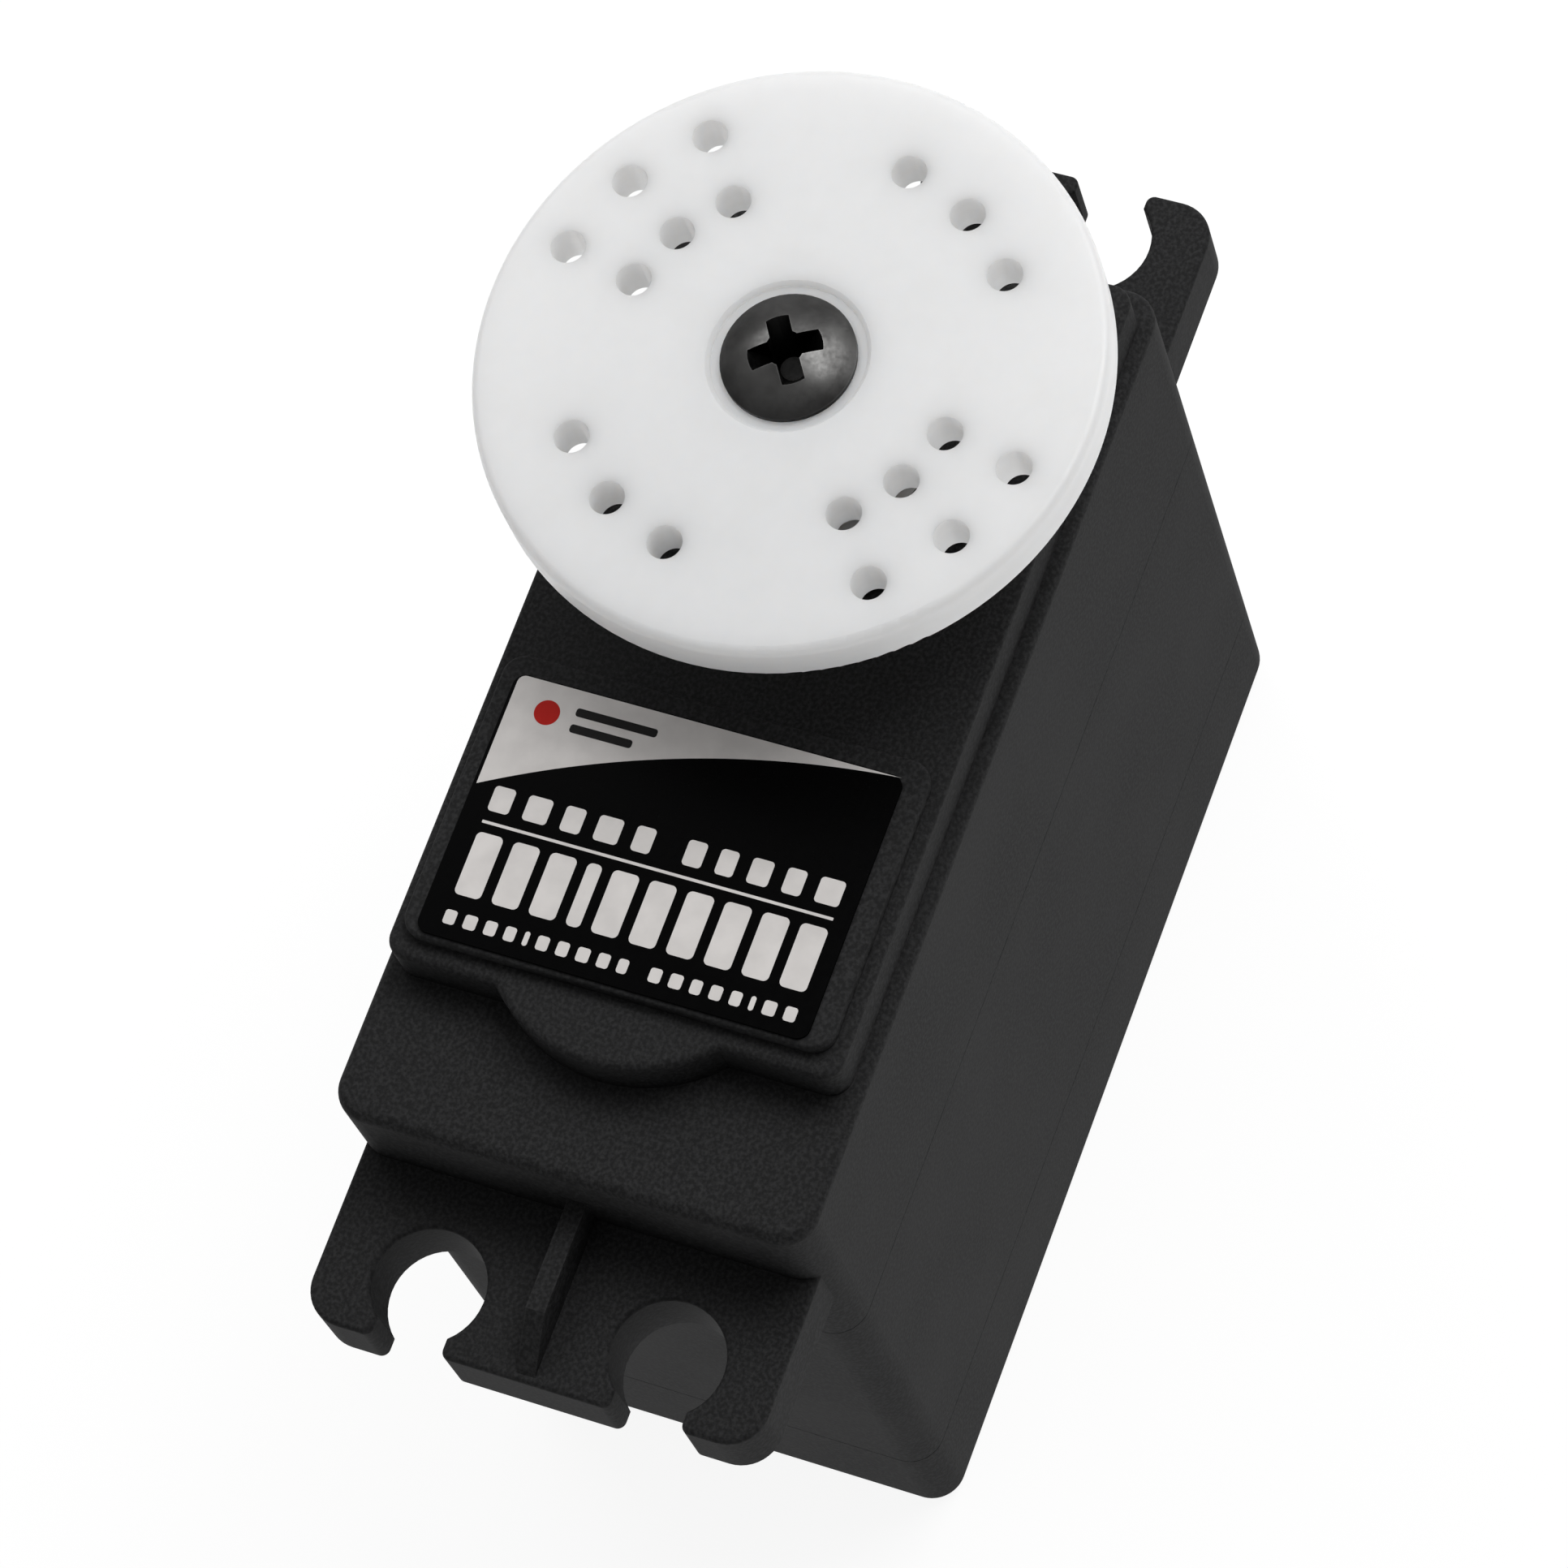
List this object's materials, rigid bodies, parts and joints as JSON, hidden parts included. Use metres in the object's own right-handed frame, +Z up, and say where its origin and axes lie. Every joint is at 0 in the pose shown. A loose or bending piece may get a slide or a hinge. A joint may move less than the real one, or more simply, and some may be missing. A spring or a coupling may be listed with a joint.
{
  "type": "servo motor",
  "caption": "Standard-size continuous-rotation servo: rectangular geared case with slotted mounting flanges and a round drilled horn on its splined output shaft.",
  "frame": {"origin": "on the output shaft's axis, on the case's flat bottom face", "axes": "+Z up the output shaft towards the horn, +X from the label end to the shaft end along the case's length, +Y across the case"},
  "size_m": [0.0542, 0.0246, 0.0448],
  "materials": {
    "case_plastic": "fine spark-eroded black moulding",
    "label_film": "printed film, satin",
    "steel_screw": "zinc-plated steel",
    "dark_screw": "dark plated steel, smooth",
    "grommet_rubber": "matt",
    "white_nylon": "smooth moulded nylon",
    "gear_nylon": "smooth moulded acetal",
    "ground_steel": "ground",
    "bearing_steel": "polished",
    "cage_steel": "pressed",
    "can_steel": "nickel plated",
    "ferrite": "sintered",
    "end_cap_plastic": "moulded",
    "bush_bronze": "sintered bronze",
    "brush_copper": "sprung copper alloy",
    "tinned_brass": "tinned",
    "core_steel": "laminated",
    "coil_copper": "enamelled copper wire",
    "board_laminate": "solder-masked laminate",
    "chip_epoxy": "moulded epoxy",
    "capacitor_can": "sleeved can",
    "trim_blue": "moulded",
    "wiper_white": "moulded"
  },
  "bodies": {
    "case": {"upper_case": "case_plastic", "middle_case": "case_plastic", "bottom_cover": "case_plastic", "label_sticker": "label_film", "case_screws": "steel_screw", "cable_grommet": "grommet_rubber", "long_gear_pin": "ground_steel", "short_gear_pin": "ground_steel", "upper_bearing_outer_ring": "bearing_steel", "lower_bearing_outer_ring": "bearing_steel", "motor_can": "can_steel", "motor_magnets": "ferrite", "motor_end_cap": "end_cap_plastic", "motor_top_bush": "bush_bronze", "motor_bottom_bush": "bush_bronze", "motor_brushes": "brush_copper", "motor_terminals": "tinned_brass", "motor_screws": "steel_screw", "circuit_board": "board_laminate", "controller_chip": "chip_epoxy", "drive_transistors": "chip_epoxy", "board_resistors": "chip_epoxy", "smoothing_capacitor": "capacitor_can", "trim_pot_body": "trim_blue"},
    "output": {"output_gear": "gear_nylon", "upper_bearing_inner_ring": "bearing_steel", "lower_bearing_inner_ring": "bearing_steel", "wheel_horn": "white_nylon", "horn_screw": "dark_screw"},
    "third": {"third_gear": "gear_nylon"},
    "second": {"second_gear": "gear_nylon"},
    "first": {"first_gear": "gear_nylon"},
    "rotor": {"motor_shaft": "ground_steel", "motor_pinion": "bush_bronze", "armature_core": "core_steel", "armature_windings": "coil_copper", "commutator": "brush_copper"},
    "upper_ball_set": {"upper_bearing_balls": "bearing_steel", "upper_bearing_cage": "cage_steel"},
    "lower_ball_set": {"lower_bearing_balls": "bearing_steel", "lower_bearing_cage": "cage_steel"},
    "wiper": {"trim_pot_wiper": "wiper_white"}
  },
  "joints": [
    {"name": "output_spin", "type": "hinge", "parent": "case", "child": "output", "pos_m": [0, 0, 0.03], "axis": [0, 0, 1], "continuous": true},
    {"name": "third_gear_spin", "type": "hinge", "parent": "case", "child": "third", "pos_m": [-0.01, 0, 0.03], "axis": [0, 0, 1], "continuous": true},
    {"name": "second_gear_spin", "type": "hinge", "parent": "case", "child": "second", "pos_m": [-0.02, 0, 0.03], "axis": [0, 0, 1], "continuous": true},
    {"name": "first_gear_spin", "type": "hinge", "parent": "case", "child": "first", "pos_m": [-0.01, 0, 0.03], "axis": [0, 0, 1], "continuous": true},
    {"name": "rotor_spin", "type": "hinge", "parent": "case", "child": "rotor", "pos_m": [-0.02, 0, 0.015], "axis": [0, 0, 1], "continuous": true},
    {"name": "upper_ball_spin", "type": "hinge", "parent": "case", "child": "upper_ball_set", "pos_m": [0, 0, 0.0367], "axis": [0, 0, 1], "continuous": true},
    {"name": "lower_ball_spin", "type": "hinge", "parent": "case", "child": "lower_ball_set", "pos_m": [0, 0, 0.0229], "axis": [0, 0, 1], "continuous": true},
    {"name": "trim_pot_turn", "type": "hinge", "parent": "case", "child": "wiper", "pos_m": [0.0016, -0.0049, 0.0065], "axis": [0, 0, 1], "range_deg": [-120, 120]}
  ],
  "couplings": [
    {"joint": "third_gear_spin", "follows": "output_spin", "ratio": -3},
    {"joint": "second_gear_spin", "follows": "output_spin", "ratio": 9},
    {"joint": "first_gear_spin", "follows": "output_spin", "ratio": -31.909},
    {"joint": "rotor_spin", "follows": "output_spin", "ratio": 113.13},
    {"joint": "upper_ball_spin", "follows": "output_spin", "ratio": 0.425},
    {"joint": "lower_ball_spin", "follows": "output_spin", "ratio": 0.39091}
  ]
}
